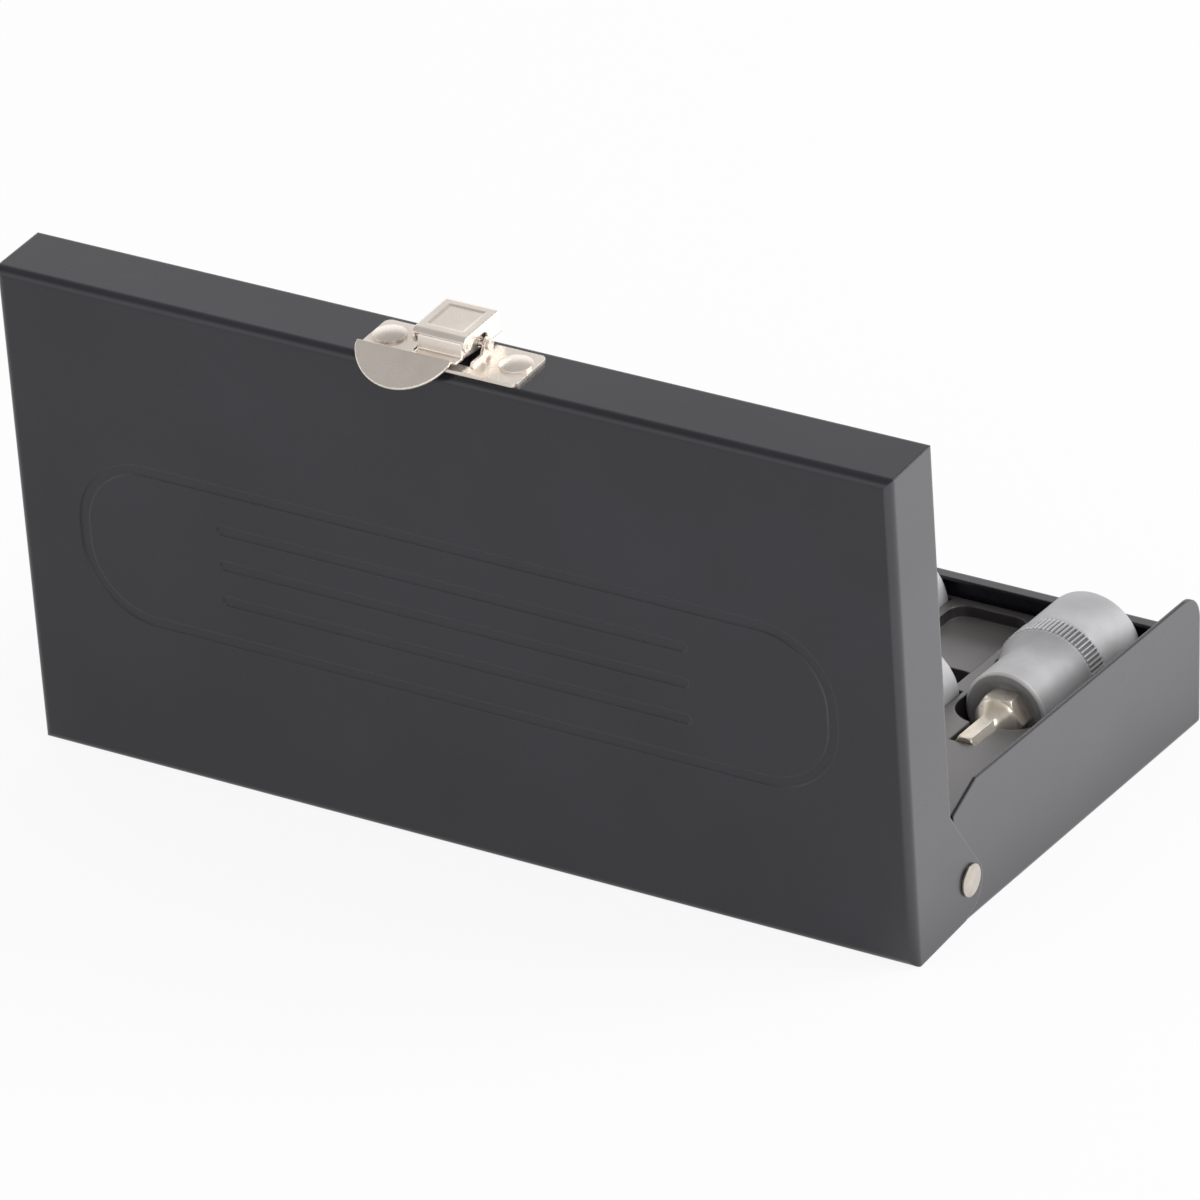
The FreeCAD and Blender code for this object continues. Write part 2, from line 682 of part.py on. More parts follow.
def make_latch_lever():
    """Lever drawn locked about its pin: rolled knuckle, leg, foot, cheeks and thumb tab."""
    body = new_body("latch_lever")
    knuckle_down, knuckle_out = lever_frame()
    radius = S["knuckle"]
    leg_front = knuckle_down - radius
    leg_back = leg_front + S["lever_sheet"]
    foot_low = -S["lever_foot"]
    foot_high = foot_low + S["lever_sheet"]
    strip = new_sketch(body, "lever_strip", "YZ_Plane")
    draw_outline(strip, [
        (-knuckle_out, -leg_front), (-foot_high, -leg_front),
        (-foot_high, S["foot_reach"]), (-foot_low, S["foot_reach"]),
        (-foot_low, -leg_back), (-knuckle_out, -leg_back)])
    extrude(body, "Pad", "lever_leg", strip, S["lever_width"], symmetric=True)
    roll = new_sketch(body, "lever_roll", "YZ_Plane")
    draw_circle(roll, -knuckle_out, -knuckle_down, radius)
    extrude(body, "Pad", "lever_knuckle", roll, S["lever_width"], symmetric=True)
    cheek = new_sketch(body, "cheek_side", "YZ_Plane", S["lever_width"] / 2)
    eye = S["lug_radius"] - 0.1
    draw_outline(cheek, [
        (-foot_low - 0.3, 0.35 - leg_back), (-knuckle_out - 0.8, -knuckle_down),
        (-knuckle_out - 0.8, -knuckle_down - 1.8), (-eye + 0.05, -knuckle_down - 4.8),
        (-eye, 0, eye, "right"), (0, -eye, eye, "right"), (eye, 0)])
    cheek_pad = extrude(body, "Pad", "cheek", cheek, S["lever_sheet"], reverse=True)
    mirror_x(body, "both_cheeks", [cheek_pad])
    make_thumb_tab(body, foot_low)
    bores = new_sketch(body, "lever_holes", "YZ_Plane")
    draw_circle(bores, 0, 0, S["lever_pin"] + S["running_gap"])
    draw_circle(bores, -knuckle_out, -knuckle_down, S["claw_pin"])
    cut(body, "lever_bores", bores, S["lever_width"] + 2, symmetric=True)
    place = on_latch(S["lever_pin_down"], S["lever_pin_out"], S["rest_lift"].value)
    finish(body, place)


def make_thumb_tab(body, foot_low):
    """Half-moon tab that leans from the lever's foot over the lid's edge."""
    tilt = S["tab_tilt"]
    start = S["foot_reach"] * cosine(tilt) - foot_low * sine(tilt) - S["lever_sheet"] * 0.7
    lift = S["foot_reach"] * sine(tilt) + foot_low * cosine(tilt)
    moon = new_sketch(body, "tab_moon", "XZ_Plane")
    lean = FreeCAD.Rotation(FreeCAD.Vector(-1, 0, 0), tilt.value)
    rise = lift * sine(tilt)
    stand = lift * cosine(tilt)
    moon.AttachmentOffset = FreeCAD.Placement(
        FreeCAD.Vector(0, rise.value, stand.value), lean)
    moon.setExpression("AttachmentOffset.Base.y", rise.text)
    moon.setExpression("AttachmentOffset.Base.z", stand.text)
    half = S["tab_width"] / 2
    depth = S["tab_depth"]
    bow = (half * half + depth * depth) / (depth * 2)
    left = S["tab_offset"] - half
    right = S["tab_offset"] + half
    draw_outline(moon, [(left, start), (right, start), (right, start + 1.2, bow, "right"),
                        (left, start + 1.2)])
    extrude(body, "Pad", "thumb_tab", moon, S["lever_sheet"])


def make_latch_claw():
    """Claw drawn about its pin: rolled edge, top, end wall with blade, and two flanges."""
    body = new_body("latch_claw")
    thick = S["claw_sheet"]
    outer = S["claw_round"]
    inner = outer - thick
    end = S["claw_end"]
    lip = S["claw_lip"]
    strip = new_sketch(body, "claw_strip", "YZ_Plane")
    lip_out = sine(lip)
    lip_up = cosine(lip)
    skirt = S["claw_pin_out"] - 1.9
    corner = thick * 2
    draw_outline(strip, [
        (-outer * lip_out, outer * lip_up, outer, "right"), (-outer, 0),
        (-outer, corner - end, corner, "right"), (corner - outer, -end),
        (skirt, -end), (skirt, thick - end), (corner - outer, thick - end, thick, "left"),
        (-inner, corner - end), (-inner, 0, inner, "left"),
        (-inner * lip_out, inner * lip_up)])
    extrude(body, "Pad", "claw_top", strip, S["claw_width"], symmetric=True)
    flange = new_sketch(body, "claw_flange", "YZ_Plane", S["claw_width"] / 2)
    arch = S["claw_end"] - 5.6
    draw_outline(flange, [
        (-outer * lip_out, outer * lip_up, outer, "right"), (-outer, 0),
        (-outer, thick - end), (skirt, thick - end), (skirt, -arch), (1.1, -arch),
        (0.15, -arch + 1), (0.15, -2.3), (1.5, -0.9), (1.2, 1.0), (-0.4, 1.6)])
    flange_pad = extrude(body, "Pad", "flange_side", flange, thick, reverse=True)
    mirror_x(body, "both_flanges", [flange_pad])
    blade = new_sketch(body, "blade_face", "XZ_Plane", -skirt + 0.2)
    half_blade = S["claw_blade"] / 2
    draw_rectangle(blade, -half_blade, half_blade, -end, thick - end)
    extrude(body, "Pad", "blade", blade, S["claw_tip"] - skirt + 0.2, reverse=True)
    field = new_sketch(body, "pressed_field", "XZ_Plane", outer)
    half_field = as_size(3.2)
    draw_rounded(field, -half_field, half_field, 3.0 - end, as_size(-1.9), as_size(0.6))
    cut(body, "sunk_field", field, thick / 2.4)
    bores = new_sketch(body, "claw_holes", "YZ_Plane")
    draw_circle(bores, 0, 0, S["claw_pin"] + S["running_gap"])
    cut(body, "claw_bores", bores, S["claw_width"] + 2, symmetric=True)
    finish(body, on_latch(S["claw_pin_down"], S["claw_pin_out"]))


def make_strike():
    """Strike on the base's front wall: plate and a tongue that the blade hooks under."""
    body = new_body("strike_plate")
    half = S["strike_width"] / 2
    lift = S["pivot_height"]
    face = new_sketch(body, "strike_face", "XZ_Plane", base_forward)
    draw_rounded(face, -half, half, S["strike_low"] - lift, S["strike_high"] - lift,
                 S["plate_round"])
    for sign in (-1, 1):
        draw_circle(face, S["strike_rivet_span"] / 2 * sign,
                    S["strike_rivet_height"] - lift, S["latch_rivet_shank"])
    extrude(body, "Pad", "strike_sheet", face, S["latch_sheet"])
    tongue = new_sketch(body, "tongue_top", "XY_Plane", S["tongue_under"] - lift)
    outer = base_forward + S["latch_sheet"]
    draw_rectangle(tongue, -S["tongue_width"] / 2, S["tongue_width"] / 2,
                   -outer - S["tongue_reach"], S["latch_sheet"] / 2 - outer)
    extrude(body, "Pad", "tongue", tongue, S["latch_sheet"])
    finish(body, PIVOT)


def make_latch():
    """Every piece of the latch and its strike, rivets and pins included."""
    make_latch_plate()
    make_latch_lever()
    make_latch_claw()
    lid_grip = S["sheet"] + S["latch_sheet"]
    make_rivet_pair("latch_plate_rivets", S["latch_rivet_span"], lid_grip, S["rivet_head"],
                    S["sheet"], on_latch(S["latch_rivet_down"], S["latch_sheet"]))
    lug_outside = S["lug_inside"] / 2 + S["lever_sheet"]
    make_pin("lever_pin", S["lever_pin"], lug_outside + 0.55,
             on_latch(S["lever_pin_down"], S["lever_pin_out"]), head=S["lever_pin"] + 0.4)
    make_pin("claw_hinge_pin", S["claw_pin"], S["claw_width"] / 2 + 0.2,
             on_latch(S["claw_pin_down"], S["claw_pin_out"]))
    make_strike()
    strike_face = base_forward + S["latch_sheet"]
    strike_place = PIVOT * FreeCAD.Placement(
        FreeCAD.Vector(0, -strike_face.value,
                       (S["strike_rivet_height"] - S["pivot_height"]).value),
        FreeCAD.Rotation())
    make_rivet_pair("strike_plate_rivets", S["strike_rivet_span"], lid_grip,
                    S["rivet_head"] - 1, S["sheet"] * 0.75, strike_place)


# ---------------------------------------------------------------- sockets and their tray

def socket_places():
    """The eight sockets as (number, x, forward, bit flats), front row first."""
    places = []
    reach = socket_pitch * (SOCKETS_PER_ROW - 0.5) / 2
    for index in range(SOCKETS_PER_ROW):
        across = socket_pitch * index - reach
        places.append((index + 1, across, front_row, BITS[index]))
    for index in range(SOCKETS_PER_ROW):
        across = socket_pitch * (index + 0.5) - reach
        number = SOCKETS_PER_ROW + index + 1
        places.append((number, across, back_row, BITS[number - 1]))
    return places


def nest_outline(grow, flats, base_y):
    """Half plan of one socket's nest, from its drive end to the tip of its bit."""
    gap = S["nest_gap"] + grow
    wide = S["drive_radius"] + gap
    neck = S["neck_radius"] + gap
    slot = flats / math.sqrt(3.0) + gap
    taper_start = S["drive_length"] + S["grip_length"]
    shoulder = S["socket_length"] + gap
    tip = S["socket_length"] + S["bit_reach"] + gap
    return [
        (0, base_y - gap), (wide, base_y - gap), (wide, base_y + taper_start),
        (neck, base_y + taper_start + S["taper_length"]),
        (neck, base_y + shoulder, S["nest_sweep"] + grow, "right"),
        (slot, base_y + shoulder + S["nest_run"]), (slot, base_y + tip), (0, base_y + tip)]


def mirrored(steps, across):
    """A half outline and its mirror image as one closed outline about x = across."""
    right = [(across + step[0],) + tuple(step[1:]) for step in steps[1:-1]]
    left = []
    backwards = list(reversed(steps[1:-1]))
    for index, step in enumerate(backwards):
        point = (across - step[0], step[1])
        following = backwards[index + 1] if index + 1 < len(backwards) else None
        if following is not None and len(following) == 4:
            point = point + (following[2], "right")
        left.append(point)
    return right + left


def tray_form(name, grow, top, low):
    """The tray's block with its bays, wells and nests; grow sinks it under the surface."""
    body = new_body(name)
    side = base_inside - S["tray_gap"] - grow
    front = S["sheet"] + S["tray_front_gap"] + grow - base_forward
    back = S["base_back"] - S["sheet"] - S["tray_gap"] - grow
    notch = S["tray_notch"]
    step = S["tray_notch_length"]
    plan = new_sketch(body, f"{name}_plan", "XY_Plane", low)
    draw_outline(plan, [
        (-side, front), (side, front), (side, back - step), (side - notch, back - step),
        (side - notch, back), (notch - side, back), (notch - side, back - step),
        (-side, back - step)])
    extrude(body, "Pad", f"{name}_block", plan, top - low)
    lift = S["pivot_height"]
    half_well = S["well_width"] / 2 + grow
    corner = S["well_round"] + grow
    bay_front = S["bay_front"] - base_forward - grow
    bay_back = grow - back_row - S["nest_gap"] + S["nest_overlap"]
    well_front = grow * -1 - back_row - S["nest_gap"] - S["well_length"]
    bays = new_sketch(body, f"{name}_bays_plan", "XY_Plane", top)
    wells = new_sketch(body, f"{name}_wells_plan", "XY_Plane", top)
    for number, across, _forward, _flats in socket_places():
        if number > SOCKETS_PER_ROW:
            sides = (across - half_well, across + half_well)
            draw_rounded(bays, *sides, bay_front, bay_back, corner)
            draw_rounded(wells, *sides, well_front, bay_back, corner)
    cut(body, f"{name}_bays", bays, top - (S["bay_floor"] - lift - grow))
    cut(body, f"{name}_wells", wells, top - (S["well_floor"] - lift - grow))
    axis = S["axis_height"] - lift
    for number, across, forward, flats in socket_places():
        steps = nest_outline(grow, flats, -forward)
        mouth_steps = nest_outline(grow, flats, -forward)
        mouth = new_sketch(body, f"{name}_mouth_{number}", "XY_Plane", axis)
        draw_outline(mouth, mirrored(mouth_steps, across))
        cut(body, f"{name}_mouths_{number}", mouth, 0, through=True, reverse=True)
        nest = new_sketch(body, f"{name}_nest_{number}", "XY_Plane", axis)
        draw_outline(nest, [(across + first[0],) + tuple(first[1:]) for first in steps])
        line = nest.addGeometry(Part.LineSegment(
            FreeCAD.Vector(across.value, -200, 0), FreeCAD.Vector(across.value, 200, 0)), True)
        pin_point(nest, line, 1, across, -200)
        pin_point(nest, line, 2, across, 200)
        before = body.Shape.Volume
        turn_profile(body, "Groove", f"{name}_nests_{number}", nest, "Axis0")
        if body.Shape.Volume >= before - 1e-6:
            raise RuntimeError(f"{name} nest {number} cuts nothing")
    return body


def make_tray():
    """Formed tray: an outer form less the same form grown by the sheet's thickness."""
    lift = S["pivot_height"]
    zero = Size(0.0, "0")
    top = S["tray_top"] - lift
    low = S["sheet"] - lift
    outside = tray_form("tray_outside", zero, top, low)
    inside = tray_form("tray_underside", S["tray_wall"], top - S["tray_wall"], low - 1)
    tray = doc.addObject("Part::Cut", "insert_tray")
    tray.Label = "insert_tray"
    tray.Base = outside
    tray.Tool = inside
    doc.recompute()
    finish(tray, PIVOT)


def make_socket(number, placement):
    """Turned socket body: drive end, grip band, hollow taper and neck, with both holes."""
    length = S["socket_length"]
    mouth = S["mouth_radius"]
    mouth_depth = S["mouth_depth"]
    name = f"socket_body_{number}"
    body = new_body(name)
    wide = S["drive_radius"]
    neck = S["neck_radius"]
    band = wide + S["grip_proud"]
    chamfer = S["end_chamfer"]
    band_start = S["drive_length"]
    band_end = band_start + S["grip_length"]
    taper_end = band_end + S["taper_length"]
    half_section = new_sketch(body, f"{name}_section", "YZ_Plane")
    draw_outline(half_section, [
        (0, 0), (0, wide - chamfer), (chamfer, wide), (band_start, wide),
        (band_start, band), (band_end, band),
        (band_end, wide - 0.2, S["taper_sweep"], "right"),
        (taper_end, neck), (length - chamfer / 2, neck), (length, neck - chamfer / 2),
        (length, mouth), (length - mouth_depth, mouth - mouth_depth),
        (length - mouth_depth, 0)])
    turn_profile(body, "Revolution", f"{name}_turned", half_section, "H_Axis")
    square = new_sketch(body, f"{name}_square", "XZ_Plane")
    half_square = S["drive_square"] / 2
    draw_rounded(square, -half_square, half_square, -half_square, half_square,
                 S["end_chamfer"])
    cut(body, f"{name}_drive_hole", square, S["drive_depth"])
    hexagon = new_sketch(body, f"{name}_hexagon", "XZ_Plane", -length)
    draw_hexagon(hexagon, S["shank_flats"])
    cut(body, f"{name}_bit_hole", hexagon, S["shank_depth"], reverse=True)
    finish(body, placement)


def make_bit(number, flats, placement):
    """Hexagonal shank in the socket, turned shoulder, and a hexagonal tip."""
    name = f"hex_bit_{number}"
    body = new_body(name)
    start = S["socket_length"] - S["shank_depth"]
    shank_end = S["socket_length"] + S["shank_proud"]
    shoulder_end = shank_end + S["shoulder_length"]
    tip = S["socket_length"] + S["bit_reach"]
    shank = new_sketch(body, f"{name}_shank_face", "XZ_Plane", -start)
    draw_hexagon(shank, S["shank_flats"])
    extrude(body, "Pad", f"{name}_shank", shank, shank_end - start, reverse=True)
    key = new_sketch(body, f"{name}_key_face", "XZ_Plane", -shank_end)
    draw_hexagon(key, flats)
    extrude(body, "Pad", f"{name}_key", key, tip - shank_end, reverse=True)
    shoulder = new_sketch(body, f"{name}_shoulder_section", "YZ_Plane")
    inset = S["shank_flats"] / 2 - 0.05
    drop = S["shoulder_drop"]
    draw_outline(shoulder, [
        (shank_end - 1, 0), (shank_end - 1, inset),
        (shank_end, inset, S["shoulder_round"], "left"),
        (shank_end + 1, inset - drop, S["shoulder_sweep"], "right"),
        (shoulder_end, flats / 2 - 0.02), (shoulder_end, 0)])
    turn_profile(body, "Revolution", f"{name}_shoulder", shoulder, "H_Axis")
    trim = new_sketch(body, f"{name}_tip_section", "YZ_Plane")
    corner = flats / math.sqrt(3.0)
    trim_depth = S["tip_chamfer"]
    draw_outline(trim, [
        (tip - trim_depth, corner + 0.1), (tip, corner + 0.1 - trim_depth),
        (tip + 1, corner + 0.1 - trim_depth), (tip + 1, corner + 1),
        (tip - trim_depth, corner + 1)])
    turn_profile(body, "Groove", f"{name}_tip_chamfer", trim, "H_Axis")
    finish(body, placement)


def make_contents():
    """The tray, then each socket with its bit, drive end towards the latch side."""
    make_tray()
    for number, across, forward, flats in socket_places():
        place = PIVOT * FreeCAD.Placement(
            FreeCAD.Vector(across.value, -forward.value,
                           (S["axis_height"] - S["pivot_height"]).value),
            FreeCAD.Rotation())
        make_socket(number, place)
        make_bit(number, flats, place)


# ---------------------------------------------------------------- check and write

def check_document():
    """Stops on any object that failed, and on any node without a whole shape."""
    doc.recompute()
    for item in doc.Objects:
        if "Invalid" in item.State or "Error" in item.State:
            raise RuntimeError(f"{item.Name} failed: {item.State}")
    for node in NODES:
        if node.Shape.isNull() or not node.Shape.isValid():
            raise RuntimeError(f"{node.Label} has no valid shape")
        if node.Shape.Volume <= 0:
            raise RuntimeError(f"{node.Label} has no volume")


make_base_shell()
make_contents()
make_lid_shell()
make_hinge_rivets()
make_latch()
check_document()
os.makedirs("parts", exist_ok=True)
for node in NODES:
    node.Shape.exportStep(f"parts/{node.Label}.step")
    print(node.Label, len(node.Shape.Solids), round(node.Shape.Volume, 1))
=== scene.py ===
import json
import math

import bpy
import numpy as np
from mathutils import Matrix, Vector


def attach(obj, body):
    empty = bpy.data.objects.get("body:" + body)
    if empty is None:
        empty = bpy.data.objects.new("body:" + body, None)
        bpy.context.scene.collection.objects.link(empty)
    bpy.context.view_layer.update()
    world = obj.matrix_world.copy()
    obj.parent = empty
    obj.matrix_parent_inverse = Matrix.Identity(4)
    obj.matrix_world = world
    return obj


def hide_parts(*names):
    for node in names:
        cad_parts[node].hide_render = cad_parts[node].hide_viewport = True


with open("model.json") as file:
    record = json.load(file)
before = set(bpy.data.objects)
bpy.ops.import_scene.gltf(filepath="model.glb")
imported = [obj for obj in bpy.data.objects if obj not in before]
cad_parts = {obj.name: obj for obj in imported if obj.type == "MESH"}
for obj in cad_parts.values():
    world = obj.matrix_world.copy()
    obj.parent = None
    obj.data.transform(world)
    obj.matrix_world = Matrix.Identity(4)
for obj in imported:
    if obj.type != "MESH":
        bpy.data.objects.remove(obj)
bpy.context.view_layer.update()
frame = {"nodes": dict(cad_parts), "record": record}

# Hinged steel case for eight bit sockets, standing open: looks of the finished object.
# Blender works in metres; shapes here are worked out in millimetres and turned by MM.
# The case's own frame: +Z up, -Y the latch side, X along the hinge.

MM = 0.001

# the case's hinge axis
PIVOT_Y = 47.3
PIVOT_Z = 10.3

# sockets: places
AXIS_HEIGHT = 15.0
SOCKET_PITCH = 45.6
FRONT_ROW = 96.4
BACK_ROW = 60.2

# socket bodies
SOCKET_LENGTH = 38.2
DRIVE_LENGTH = 15.2
DRIVE_RADIUS = 11.5
DRIVE_SQUARE = 12.9
DRIVE_DEPTH = 16.0
DRIVE_CORNER = DRIVE_SQUARE * 0.68
GRIP_LENGTH = 5.2
GRIP_RADIUS = 11.65
GRIP_RIBS = 72
RIB_DEPTH = 0.55
RIB_RUN_IN = 0.25
BAND_END = DRIVE_LENGTH + GRIP_LENGTH
BAND_SHOULDER = DRIVE_RADIUS - 0.1
TAPER_LENGTH = 7.5
TAPER_HOLLOW = 2.2
NECK_RADIUS = 9.4
MOUTH_RADIUS = 7.4
MOUTH_DEPTH = 1.2
BIT_HOLE_CORNER = 5.85
AROUND = 8 * GRIP_RIBS

# bits
SHANK_FLATS = 10.0
SHANK_CORNER = 5.68
SHANK_TURNED = 5.7
SHANK_DEPTH = 12.0
SHANK_PROUD = 3.5
SHOULDER_LENGTH = 5.0
SHOULDER_HOLLOW = 0.72
BIT_REACH = 17.3
BIT_FLATS = (5.0, 6.0, 7.0, 8.0, 4.0, 9.0, 10.0, 12.0)
TIP_CORNER = 0.572


# ---------------------------------------------------------------- small helpers

def colour(hex_value):
    """An sRGB hex colour such as "8a8a8c" as linear red, green, blue and alpha."""
    parts = [int(hex_value[i:i + 2], 16) / 255 for i in (0, 2, 4)]
    linear = [c / 12.92 if c <= 0.04045 else ((c + 0.055) / 1.055) ** 2.4 for c in parts]
    return (*linear, 1.0)


def add_node(tree, kind, inputs=None, **settings):
    """A node with its settings; inputs maps a socket to a value or to another node's output."""
    node = tree.nodes.new(kind)
    for name, value in settings.items():
        setattr(node, name, value)
    for key, value in (inputs or {}).items():
        if isinstance(value, bpy.types.NodeSocket):
            tree.links.new(value, node.inputs[key])
        else:
            node.inputs[key].default_value = value
    return node


def new_material(name):
    """An empty material with its tree, shader and object coordinates."""
    material = bpy.data.materials.new(name)
    material.use_nodes = True
    tree = material.node_tree
    tree.nodes.clear()
    shader = add_node(tree, "ShaderNodeBsdfPrincipled")
    add_node(tree, "ShaderNodeOutputMaterial", {"Surface": shader.outputs["BSDF"]})
    place = add_node(tree, "ShaderNodeTexCoord").outputs["Object"]
    return material, tree, shader, place


def varied(tree, place, low, high, size_mm, detail):
    """A value that wanders from low to high in blotches about size_mm across."""
    cloud = add_node(tree, "ShaderNodeTexNoise", {
        "Vector": place, "Scale": 1 / (size_mm * MM), "Detail": detail})
    return add_node(tree, "ShaderNodeMapRange", {
        "Value": cloud.outputs["Fac"], "From Min": 0.3, "From Max": 0.7, "To Min": low,
        "To Max": high}).outputs["Result"]


def mottled(tree, place, first, second, size_mm, detail):
    """A colour that wanders between two in blotches about size_mm across."""
    share = varied(tree, place, 0.0, 1.0, size_mm, detail)
    return add_node(tree, "ShaderNodeMix", {0: share, 6: colour(first), 7: colour(second)},
                    data_type="RGBA").outputs[2]


def relief(tree, place, size_mm, detail, depth_mm, strength, edge_mm=0.0, edge_samples=6):
    """The normal of a skin with fine relief; edge_mm is the radius its edges are eased to."""
    grain = add_node(tree, "ShaderNodeTexNoise", {
        "Vector": place, "Scale": 1 / (size_mm * MM), "Detail": detail})
    inputs = {"Height": grain.outputs["Fac"], "Distance": depth_mm * MM, "Strength": strength}
    if edge_mm:
        inputs["Normal"] = add_node(tree, "ShaderNodeBevel", {"Radius": edge_mm * MM},
                                    samples=edge_samples).outputs["Normal"]
    return add_node(tree, "ShaderNodeBump", inputs).outputs["Normal"]


def coat(tree, shader, base, roughness, normal, metallic=0.0):
    """Joins the three patterns to the shader."""
    tree.links.new(base, shader.inputs["Base Color"])
    tree.links.new(roughness, shader.inputs["Roughness"])
    tree.links.new(normal, shader.inputs["Normal"])
    shader.inputs["Metallic"].default_value = metallic


# ---------------------------------------------------------------- finishes

def stoved_enamel():
    """Sheet steel, stoved semi-gloss charcoal enamel: dark, smooth, soft reflections.

    A faint orange peel, drawn about 3 mm across so that it shows.
    """
    material, tree, shader, place = new_material("stoved_charcoal_enamel")
    shader.inputs["IOR"].default_value = 1.5
    coat(tree, shader,
         mottled(tree, place, "1a1920", "211f27", size_mm=34.0, detail=3.0),
         varied(tree, place, 0.26, 0.30, size_mm=24.0, detail=2.0),
         relief(tree, place, size_mm=3.0, detail=1.0, depth_mm=0.006, strength=0.3,
                edge_mm=0.6, edge_samples=8))
    return material


def formed_styrene():
    """Vacuum-formed styrene sheet, near black with a warm cast and a satin skin.

    Its level faces are lightened, partly as fine dust and partly as painted light where light
    from above falls on them. The skin's grain is drawn at 1.6 mm so that it shows.
    """
    material, tree, shader, place = new_material("formed_black_styrene")
    shader.inputs["IOR"].default_value = 1.7
    bare = mottled(tree, place, "2e2b2b", "383434", size_mm=22.0, detail=3.0)
    # Faces that look up are mixed towards a pale grey: partly settled dust, partly painted top
    # light.
    facing = add_node(tree, "ShaderNodeSeparateXYZ", {
        "Vector": add_node(tree, "ShaderNodeNewGeometry").outputs["Normal"]})
    dust_and_top_light_share = add_node(tree, "ShaderNodeMapRange", {
        "Value": facing.outputs["Z"], "From Min": 0.7, "From Max": 1.0, "To Min": 0.0,
        "To Max": 0.55}).outputs["Result"]
    dust_and_top_light_colour = add_node(tree, "ShaderNodeMix", {0: dust_and_top_light_share, 6: bare, 7: colour("7c7877")},
                     data_type="RGBA").outputs[2]
    coat(tree, shader, dust_and_top_light_colour,
         varied(tree, place, 0.28, 0.36, size_mm=12.0, detail=2.0),
         relief(tree, place, size_mm=1.6, detail=1.0, depth_mm=0.006, strength=0.25,
                edge_mm=0.6))
    return material


def nickel_plate():
    """Bright nickel on pressed steel: warm silver, softly mirrored, faintly wavy."""
    material, tree, shader, place = new_material("bright_nickel_plate")
    coat(tree, shader,
         mottled(tree, place, "dfd5cb", "eae1d8", size_mm=9.0, detail=3.0),
         varied(tree, place, 0.24, 0.32, size_mm=4.0, detail=2.0),
         relief(tree, place, size_mm=5.0, detail=1.0, depth_mm=0.02, strength=0.2,
                edge_mm=0.18, edge_samples=8),
         metallic=0.75)
    return material


def zinc_plate():
    """Zinc on the hinge rivets' peened heads: duller and greyer than the latch's nickel."""
    material, tree, shader, place = new_material("zinc_plated_rivet")
    coat(tree, shader,
         mottled(tree, place, "968f87", "aaa39a", size_mm=2.5, detail=3.0),
         varied(tree, place, 0.30, 0.42, size_mm=2.5, detail=3.0),
         relief(tree, place, size_mm=2.5, detail=3.0, depth_mm=0.02, strength=0.3,
                edge_mm=0.3),
         metallic=0.85)
    return material


def satin_chrome():
    """Turned steel, blasted and satin chromed: pale grey, broad highlights, fine grit.

    The grit is drawn at 0.3 mm so that it shows. The blasted skin scatters, so part of it
    answers light as a matt surface does. One mesh attribute darkens the grip grooves, partly
    for oil and grime and partly as painted shade; another lightens the edges, partly for rubbed
    wear and partly as a painted edge highlight.
    """
    material, tree, shader, place = new_material("satin_chrome_plate")
    base = mottled(tree, place, "b3b3b5", "c3c2c4", size_mm=7.0, detail=4.0)
    # Two attributes: grooves darkened with grime and painted shade, edges lightened with rubbed
    # wear and a painted edge highlight.
    for layer, tint in (("groove_grime_and_shade", "3a3837"), ("worn_and_edge_highlight", "e6e4e2")):
        share = add_node(tree, "ShaderNodeAttribute", attribute_name=layer).outputs["Fac"]
        base = add_node(tree, "ShaderNodeMix", {0: share, 6: base, 7: colour(tint)},
                        data_type="RGBA").outputs[2]
    coat(tree, shader, base,
         varied(tree, place, 0.54, 0.64, size_mm=2.0, detail=4.0),
         relief(tree, place, size_mm=0.3, detail=2.0, depth_mm=0.02, strength=0.5),
         metallic=0.35)
    return material


def plated_bit_steel():
    """Hardened bit steel with a champagne nickel flash: warm, bright, a few duller rubs."""
    material, tree, shader, place = new_material("nickel_flashed_bit_steel")
    coat(tree, shader,
         mottled(tree, place, "e0d2bd", "faf4ea", size_mm=3.5, detail=3.0),
         varied(tree, place, 0.26, 0.38, size_mm=2.5, detail=3.0),
         relief(tree, place, size_mm=2.5, detail=3.0, depth_mm=0.006, strength=0.2,
                edge_mm=0.2),
         metallic=0.6)
    return material


FINISHES = {
    "painted_case": stoved_enamel(),
    "tray_plastic": formed_styrene(),
    "latch_nickel": nickel_plate(),
    "socket_chrome": satin_chrome(),
    "bit_steel": plated_bit_steel(),
}
FINISHES["rivet_steel"] = FINISHES["latch_nickel"]
HINGE_ZINC = zinc_plate()


def dress(piece, material):
    """Gives the whole piece one material."""
    if piece.material_slots:
        for holder in piece.material_slots:
            holder.material = material
    else:
        piece.data.materials.append(material)


for part in frame["record"]["subparts"]:
    dress(frame["nodes"][part["node"]], FINISHES[part["material_slot"]])
for rivet in ("hinge_rivet_left", "hinge_rivet_right"):
    dress(frame["nodes"][rivet], HINGE_ZINC)


def add_piece(mesh, body, slot_name):
    """A piece made of a finished mesh, with its finish, riding on a body."""
    piece = bpy.data.objects.new(mesh.name, mesh)
    bpy.context.scene.collection.objects.link(piece)
    dress(piece, FINISHES[slot_name])
    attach(piece, body)
    return piece


# ---------------------------------------------------------------- sockets and bits

def ring_angles():
    """Angles of a ring's points; they run so that faces point outwards along +Y."""
    return -2 * math.pi * np.arange(AROUND) / AROUND


def polygon_radius(sides, flats, corner_radius):
    """Radii of a regular polygon, two flats level, its corners cut by a circle.

    The flat nearest to an angle lies flats / 2 from the middle, so the radius is that
    over the cosine of the angle off the flat's middle.
    """
    sector = 2 * math.pi / sides
    off = (ring_angles() + math.pi / 2 + sector / 2) % sector - sector / 2
    return np.minimum(flats / 2 / np.cos(off), corner_radius)


